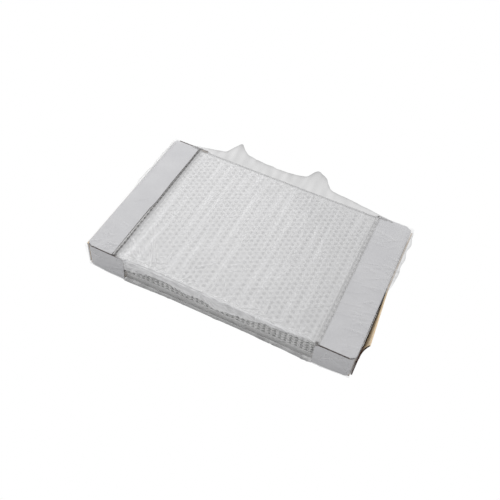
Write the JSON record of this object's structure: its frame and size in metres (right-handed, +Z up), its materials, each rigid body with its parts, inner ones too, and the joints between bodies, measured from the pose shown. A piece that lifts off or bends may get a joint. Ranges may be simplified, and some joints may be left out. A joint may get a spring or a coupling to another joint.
{
  "type": "plug tray pack",
  "caption": "Film-wrapped pack of nested thin plastic plug trays for raising seedlings, with a folding corrugated-board cap on each end.",
  "frame": {"origin": "middle of the film's underside, on the surface that the pack lies on", "axes": "+X along the pack towards the right-hand cap, +Y to the back where the film's seam stands, +Z up"},
  "size_m": [0.627, 0.426, 0.103],
  "materials": {
    "tray_plastic": "thin white formed plastic, soft sheen",
    "white_lined_board": "matte white-lined corrugated board, brown cut edges and kraft inside",
    "clear_film": "clear hazy film with creases"
  },
  "bodies": {
    "tray_stack": {"tray_1": "tray_plastic", "tray_2": "tray_plastic", "tray_3": "tray_plastic", "tray_4": "tray_plastic", "tray_5": "tray_plastic", "tray_6": "tray_plastic", "film_wrap": "clear_film"},
    "left_cap": {"left_cap_shell": "white_lined_board"},
    "left_top_flap": {"left_cap_top_flap": "white_lined_board"},
    "left_end_flap": {"left_cap_end_flap": "white_lined_board"},
    "right_cap": {"right_cap_shell": "white_lined_board"},
    "right_top_flap": {"right_cap_top_flap": "white_lined_board"},
    "right_end_flap": {"right_cap_end_flap": "white_lined_board"}
  },
  "joints": [
    {"name": "left_cap_pull", "type": "slide", "parent": "tray_stack", "child": "left_cap", "axis": [-1, 0, 0], "range_m": [0, 0.095]},
    {"name": "right_cap_pull", "type": "slide", "parent": "tray_stack", "child": "right_cap", "axis": [1, 0, 0], "range_m": [0, 0.09]},
    {"name": "left_top_flap_fold", "type": "hinge", "parent": "left_cap", "child": "left_top_flap", "pos_m": [-0.306, 0, 0.0652], "axis": [0, -1, 0], "range_deg": [0, 110], "deforming": ["film_wrap"]},
    {"name": "right_top_flap_fold", "type": "hinge", "parent": "right_cap", "child": "right_top_flap", "pos_m": [0.306, 0, 0.0652], "axis": [0, 1, 0], "range_deg": [0, 110], "deforming": ["film_wrap"]},
    {"name": "left_end_flap_fold", "type": "hinge", "parent": "left_cap", "child": "left_end_flap", "pos_m": [-0.3093, 0, 0.0011], "axis": [0, -1, 0], "range_deg": [0, 90]},
    {"name": "right_end_flap_fold", "type": "hinge", "parent": "right_cap", "child": "right_end_flap", "pos_m": [0.3093, 0, 0.0011], "axis": [0, 1, 0], "range_deg": [0, 82]}
  ]
}
